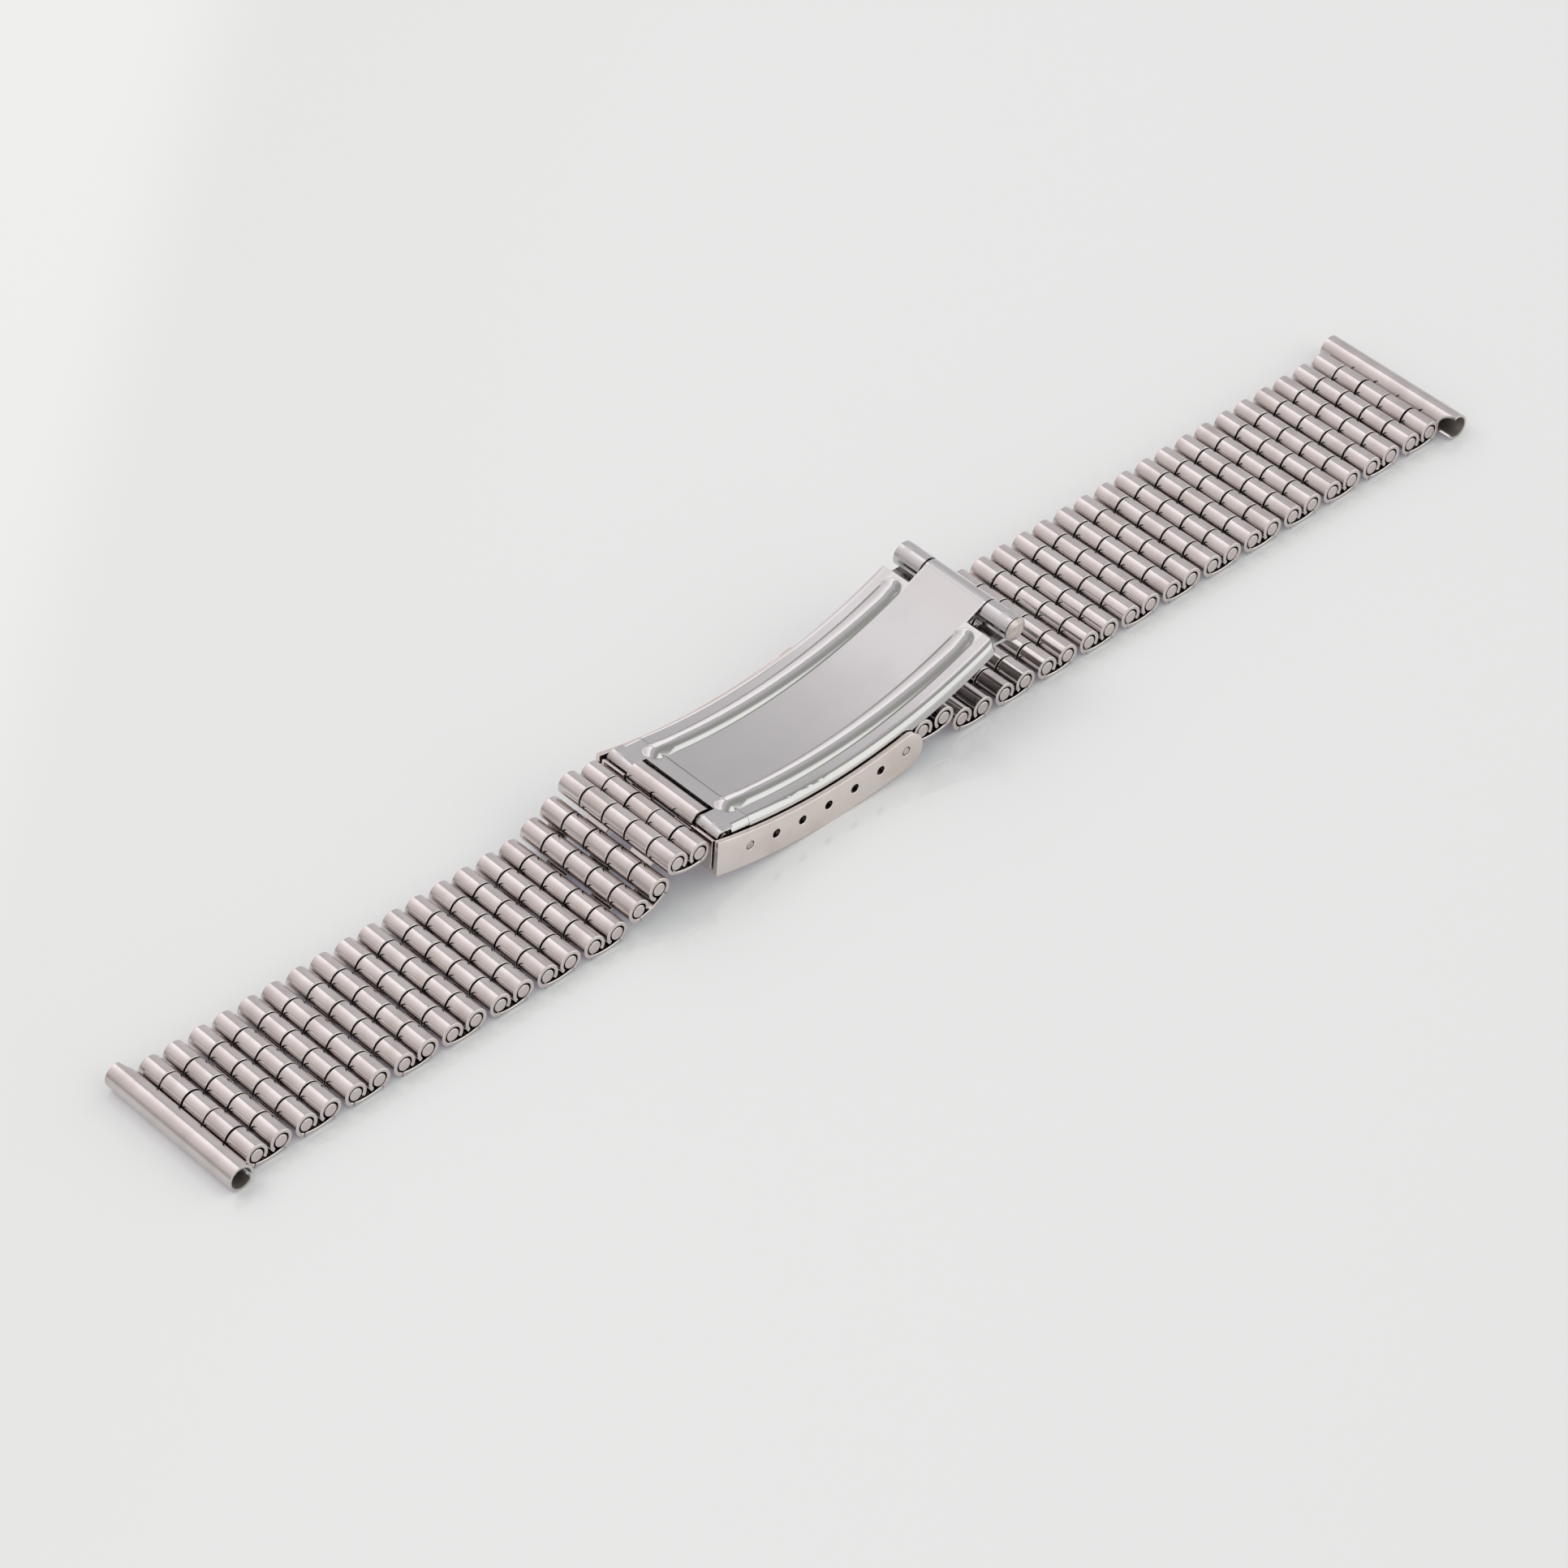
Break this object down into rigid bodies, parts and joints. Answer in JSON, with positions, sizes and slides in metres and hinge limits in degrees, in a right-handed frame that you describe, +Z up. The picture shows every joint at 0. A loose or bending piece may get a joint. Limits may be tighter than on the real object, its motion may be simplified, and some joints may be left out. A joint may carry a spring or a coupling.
{
  "type": "watch bracelet",
  "caption": "Watch bracelet of folded sheet links hinged on pins, with a tri-fold clasp and tubular end pieces for the watch's spring bars",
  "frame": {"origin": "middle of the bounding box at the level that the bracelet rests on", "axes": "+X along the strap, from the side with fewer links to the side with more; +Y across the strap; +Z up, from the outer face to the wrist side"},
  "size_m": [0.178, 0.0198, 0.0116],
  "materials": {
    "link_steel": "satin",
    "clasp_steel": "satin",
    "pin_steel": "turned",
    "spring_steel": "drawn wire"
  },
  "bodies": {
    "cover": {"cover": "clasp_steel", "cover_pin": "pin_steel", "right_spring_bar": "pin_steel", "right_bar_tips": "pin_steel", "right_bar_spring": "spring_steel"},
    "lower_blade": {"lower_blade": "clasp_steel", "blade_pin": "pin_steel"},
    "upper_blade": {"upper_blade": "clasp_steel", "left_spring_bar": "pin_steel", "left_bar_tips": "pin_steel", "left_bar_spring": "spring_steel"},
    "left_connector": {"left_connector": "link_steel"},
    "right_connector": {"right_connector": "link_steel"},
    "left_outer_link_1": {"left_outer_link_1": "link_steel"},
    "left_inner_link_1": {"left_inner_link_1": "link_steel"},
    "left_outer_link_2": {"left_outer_link_2": "link_steel"},
    "left_inner_link_2": {"left_inner_link_2": "link_steel"},
    "left_outer_link_3": {"left_outer_link_3": "link_steel"},
    "left_inner_link_3": {"left_inner_link_3": "link_steel"},
    "left_outer_link_4": {"left_outer_link_4": "link_steel"},
    "left_inner_link_4": {"left_inner_link_4": "link_steel"},
    "left_outer_link_5": {"left_outer_link_5": "link_steel"},
    "left_inner_link_5": {"left_inner_link_5": "link_steel"},
    "left_outer_link_6": {"left_outer_link_6": "link_steel"},
    "left_inner_link_6": {"left_inner_link_6": "link_steel"},
    "left_outer_link_7": {"left_outer_link_7": "link_steel"},
    "left_inner_link_7": {"left_inner_link_7": "link_steel"},
    "left_outer_link_8": {"left_outer_link_8": "link_steel"},
    "left_inner_link_8": {"left_inner_link_8": "link_steel"},
    "left_outer_link_9": {"left_outer_link_9": "link_steel"},
    "left_inner_link_9": {"left_inner_link_9": "link_steel"},
    "left_outer_link_10": {"left_outer_link_10": "link_steel"},
    "left_end_piece": {"left_end_piece": "link_steel"},
    "right_outer_link_1": {"right_outer_link_1": "link_steel"},
    "right_inner_link_1": {"right_inner_link_1": "link_steel"},
    "right_outer_link_2": {"right_outer_link_2": "link_steel"},
    "right_inner_link_2": {"right_inner_link_2": "link_steel"},
    "right_outer_link_3": {"right_outer_link_3": "link_steel"},
    "right_inner_link_3": {"right_inner_link_3": "link_steel"},
    "right_outer_link_4": {"right_outer_link_4": "link_steel"},
    "right_inner_link_4": {"right_inner_link_4": "link_steel"},
    "right_outer_link_5": {"right_outer_link_5": "link_steel"},
    "right_inner_link_5": {"right_inner_link_5": "link_steel"},
    "right_outer_link_6": {"right_outer_link_6": "link_steel"},
    "right_inner_link_6": {"right_inner_link_6": "link_steel"},
    "right_outer_link_7": {"right_outer_link_7": "link_steel"},
    "right_inner_link_7": {"right_inner_link_7": "link_steel"},
    "right_outer_link_8": {"right_outer_link_8": "link_steel"},
    "right_inner_link_8": {"right_inner_link_8": "link_steel"},
    "right_outer_link_9": {"right_outer_link_9": "link_steel"},
    "right_inner_link_9": {"right_inner_link_9": "link_steel"},
    "right_outer_link_10": {"right_outer_link_10": "link_steel"},
    "right_inner_link_10": {"right_inner_link_10": "link_steel"},
    "right_outer_link_11": {"right_outer_link_11": "link_steel"},
    "right_inner_link_11": {"right_inner_link_11": "link_steel"},
    "right_outer_link_12": {"right_outer_link_12": "link_steel"},
    "right_inner_link_12": {"right_inner_link_12": "link_steel"},
    "right_outer_link_13": {"right_outer_link_13": "link_steel"},
    "right_end_piece": {"right_end_piece": "link_steel"}
  },
  "joints": [
    {"name": "cover_hinge", "type": "hinge", "parent": "cover", "child": "lower_blade", "pos_m": [-0.01952, 0, 0.00365], "axis": [0, -1, 0], "range_deg": [0, 170]},
    {"name": "blade_hinge", "type": "hinge", "parent": "lower_blade", "child": "upper_blade", "pos_m": [0.01921, 0, 0.01013], "axis": [0, 1, 0], "range_deg": [0, 175]},
    {"name": "left_connector_hinge", "type": "hinge", "parent": "upper_blade", "child": "left_connector", "pos_m": [-0.02237, 0, 0.00588], "axis": [0, 1, 0], "range_deg": [-12, 60]},
    {"name": "right_connector_hinge", "type": "hinge", "parent": "cover", "child": "right_connector", "pos_m": [0.00269, 0, 0.00334], "axis": [0, -1, 0], "range_deg": [-1.5, 6]},
    {"name": "left_pin_1", "type": "hinge", "parent": "left_connector", "child": "left_outer_link_1", "pos_m": [-0.02568, 0, 0.00565], "axis": [0, -1, 0], "range_deg": [-58, 72]},
    {"name": "left_pin_2", "type": "hinge", "parent": "left_outer_link_1", "child": "left_inner_link_1", "pos_m": [-0.02873, 0, 0.00608], "axis": [0, 1, 0], "range_deg": [-13.5, 116.5]},
    {"name": "left_pin_3", "type": "hinge", "parent": "left_inner_link_1", "child": "left_outer_link_2", "pos_m": [-0.03126, 0, 0.00406], "axis": [0, -1, 0], "range_deg": [-56, 74]},
    {"name": "left_pin_4", "type": "hinge", "parent": "left_outer_link_2", "child": "left_inner_link_2", "pos_m": [-0.03407, 0, 0.00278], "axis": [0, 1, 0], "range_deg": [-63, 66.5]},
    {"name": "left_pin_5", "type": "hinge", "parent": "left_inner_link_2", "child": "left_outer_link_3", "pos_m": [-0.03708, 0, 0.0016], "axis": [0, -1, 0], "range_deg": [-48.5, 81]},
    {"name": "left_pin_6", "type": "hinge", "parent": "left_outer_link_3", "child": "left_inner_link_3", "pos_m": [-0.04016, 0, 0.0016], "axis": [0, 1, 0], "range_deg": [-60, 70]},
    {"name": "left_pin_7", "type": "hinge", "parent": "left_inner_link_3", "child": "left_outer_link_4", "pos_m": [-0.0434, 0, 0.0016], "axis": [0, -1, 0], "range_deg": [-70, 60]},
    {"name": "left_pin_8", "type": "hinge", "parent": "left_outer_link_4", "child": "left_inner_link_4", "pos_m": [-0.04648, 0, 0.0016], "axis": [0, 1, 0], "range_deg": [-60, 70]},
    {"name": "left_pin_9", "type": "hinge", "parent": "left_inner_link_4", "child": "left_outer_link_5", "pos_m": [-0.04972, 0, 0.0016], "axis": [0, -1, 0], "range_deg": [-70, 60]},
    {"name": "left_pin_10", "type": "hinge", "parent": "left_outer_link_5", "child": "left_inner_link_5", "pos_m": [-0.0528, 0, 0.0016], "axis": [0, 1, 0], "range_deg": [-60, 70]},
    {"name": "left_pin_11", "type": "hinge", "parent": "left_inner_link_5", "child": "left_outer_link_6", "pos_m": [-0.05604, 0, 0.0016], "axis": [0, -1, 0], "range_deg": [-70, 60]},
    {"name": "left_pin_12", "type": "hinge", "parent": "left_outer_link_6", "child": "left_inner_link_6", "pos_m": [-0.05912, 0, 0.0016], "axis": [0, 1, 0], "range_deg": [-60, 70]},
    {"name": "left_pin_13", "type": "hinge", "parent": "left_inner_link_6", "child": "left_outer_link_7", "pos_m": [-0.06236, 0, 0.0016], "axis": [0, -1, 0], "range_deg": [-70, 60]},
    {"name": "left_pin_14", "type": "hinge", "parent": "left_outer_link_7", "child": "left_inner_link_7", "pos_m": [-0.06544, 0, 0.0016], "axis": [0, 1, 0], "range_deg": [-60, 70]},
    {"name": "left_pin_15", "type": "hinge", "parent": "left_inner_link_7", "child": "left_outer_link_8", "pos_m": [-0.06868, 0, 0.0016], "axis": [0, -1, 0], "range_deg": [-70, 60]},
    {"name": "left_pin_16", "type": "hinge", "parent": "left_outer_link_8", "child": "left_inner_link_8", "pos_m": [-0.07176, 0, 0.0016], "axis": [0, 1, 0], "range_deg": [-60, 70]},
    {"name": "left_pin_17", "type": "hinge", "parent": "left_inner_link_8", "child": "left_outer_link_9", "pos_m": [-0.075, 0, 0.0016], "axis": [0, -1, 0], "range_deg": [-70, 60]},
    {"name": "left_pin_18", "type": "hinge", "parent": "left_outer_link_9", "child": "left_inner_link_9", "pos_m": [-0.07808, 0, 0.0016], "axis": [0, 1, 0], "range_deg": [-60, 70]},
    {"name": "left_pin_19", "type": "hinge", "parent": "left_inner_link_9", "child": "left_outer_link_10", "pos_m": [-0.08132, 0, 0.0016], "axis": [0, -1, 0], "range_deg": [-70, 60]},
    {"name": "left_pin_20", "type": "hinge", "parent": "left_outer_link_10", "child": "left_end_piece", "pos_m": [-0.0844, 0, 0.0016], "axis": [0, 1, 0], "range_deg": [-60, 70]},
    {"name": "right_pin_1", "type": "hinge", "parent": "right_connector", "child": "right_outer_link_1", "pos_m": [0.006, 0, 0.00356], "axis": [0, 1, 0], "range_deg": [-18, 57]},
    {"name": "right_pin_2", "type": "hinge", "parent": "right_outer_link_1", "child": "right_inner_link_1", "pos_m": [0.00908, 0, 0.00361], "axis": [0, -1, 0], "range_deg": [-26, 26]},
    {"name": "right_pin_3", "type": "hinge", "parent": "right_inner_link_1", "child": "right_outer_link_2", "pos_m": [0.01181, 0, 0.00187], "axis": [0, 1, 0], "range_deg": [-34, 87.5]},
    {"name": "right_pin_4", "type": "hinge", "parent": "right_outer_link_2", "child": "right_inner_link_2", "pos_m": [0.01488, 0, 0.0016], "axis": [0, -1, 0], "range_deg": [-65, 42]},
    {"name": "right_pin_5", "type": "hinge", "parent": "right_inner_link_2", "child": "right_outer_link_3", "pos_m": [0.01812, 0, 0.0016], "axis": [0, 1, 0], "range_deg": [-60, 60]},
    {"name": "right_pin_6", "type": "hinge", "parent": "right_outer_link_3", "child": "right_inner_link_3", "pos_m": [0.0212, 0, 0.0016], "axis": [0, -1, 0], "range_deg": [-60, 70]},
    {"name": "right_pin_7", "type": "hinge", "parent": "right_inner_link_3", "child": "right_outer_link_4", "pos_m": [0.02444, 0, 0.0016], "axis": [0, 1, 0], "range_deg": [-70, 60]},
    {"name": "right_pin_8", "type": "hinge", "parent": "right_outer_link_4", "child": "right_inner_link_4", "pos_m": [0.02752, 0, 0.0016], "axis": [0, -1, 0], "range_deg": [-60, 70]},
    {"name": "right_pin_9", "type": "hinge", "parent": "right_inner_link_4", "child": "right_outer_link_5", "pos_m": [0.03076, 0, 0.0016], "axis": [0, 1, 0], "range_deg": [-70, 60]},
    {"name": "right_pin_10", "type": "hinge", "parent": "right_outer_link_5", "child": "right_inner_link_5", "pos_m": [0.03384, 0, 0.0016], "axis": [0, -1, 0], "range_deg": [-60, 70]},
    {"name": "right_pin_11", "type": "hinge", "parent": "right_inner_link_5", "child": "right_outer_link_6", "pos_m": [0.03708, 0, 0.0016], "axis": [0, 1, 0], "range_deg": [-70, 60]},
    {"name": "right_pin_12", "type": "hinge", "parent": "right_outer_link_6", "child": "right_inner_link_6", "pos_m": [0.04016, 0, 0.0016], "axis": [0, -1, 0], "range_deg": [-60, 70]},
    {"name": "right_pin_13", "type": "hinge", "parent": "right_inner_link_6", "child": "right_outer_link_7", "pos_m": [0.0434, 0, 0.0016], "axis": [0, 1, 0], "range_deg": [-70, 60]},
    {"name": "right_pin_14", "type": "hinge", "parent": "right_outer_link_7", "child": "right_inner_link_7", "pos_m": [0.04648, 0, 0.0016], "axis": [0, -1, 0], "range_deg": [-60, 70]},
    {"name": "right_pin_15", "type": "hinge", "parent": "right_inner_link_7", "child": "right_outer_link_8", "pos_m": [0.04972, 0, 0.0016], "axis": [0, 1, 0], "range_deg": [-70, 60]},
    {"name": "right_pin_16", "type": "hinge", "parent": "right_outer_link_8", "child": "right_inner_link_8", "pos_m": [0.0528, 0, 0.0016], "axis": [0, -1, 0], "range_deg": [-60, 70]},
    {"name": "right_pin_17", "type": "hinge", "parent": "right_inner_link_8", "child": "right_outer_link_9", "pos_m": [0.05604, 0, 0.0016], "axis": [0, 1, 0], "range_deg": [-70, 60]},
    {"name": "right_pin_18", "type": "hinge", "parent": "right_outer_link_9", "child": "right_inner_link_9", "pos_m": [0.05912, 0, 0.0016], "axis": [0, -1, 0], "range_deg": [-60, 70]},
    {"name": "right_pin_19", "type": "hinge", "parent": "right_inner_link_9", "child": "right_outer_link_10", "pos_m": [0.06236, 0, 0.0016], "axis": [0, 1, 0], "range_deg": [-70, 60]},
    {"name": "right_pin_20", "type": "hinge", "parent": "right_outer_link_10", "child": "right_inner_link_10", "pos_m": [0.06544, 0, 0.0016], "axis": [0, -1, 0], "range_deg": [-60, 70]},
    {"name": "right_pin_21", "type": "hinge", "parent": "right_inner_link_10", "child": "right_outer_link_11", "pos_m": [0.06868, 0, 0.0016], "axis": [0, 1, 0], "range_deg": [-70, 60]},
    {"name": "right_pin_22", "type": "hinge", "parent": "right_outer_link_11", "child": "right_inner_link_11", "pos_m": [0.07176, 0, 0.0016], "axis": [0, -1, 0], "range_deg": [-60, 70]},
    {"name": "right_pin_23", "type": "hinge", "parent": "right_inner_link_11", "child": "right_outer_link_12", "pos_m": [0.075, 0, 0.0016], "axis": [0, 1, 0], "range_deg": [-70, 60]},
    {"name": "right_pin_24", "type": "hinge", "parent": "right_outer_link_12", "child": "right_inner_link_12", "pos_m": [0.07808, 0, 0.0016], "axis": [0, -1, 0], "range_deg": [-60, 70]},
    {"name": "right_pin_25", "type": "hinge", "parent": "right_inner_link_12", "child": "right_outer_link_13", "pos_m": [0.08132, 0, 0.0016], "axis": [0, 1, 0], "range_deg": [-70, 60]},
    {"name": "right_pin_26", "type": "hinge", "parent": "right_outer_link_13", "child": "right_end_piece", "pos_m": [0.0844, 0, 0.0016], "axis": [0, -1, 0], "range_deg": [-60, 70]}
  ],
  "couplings": [
    {"joint": "blade_hinge", "follows": "cover_hinge", "ratio": 1}
  ]
}
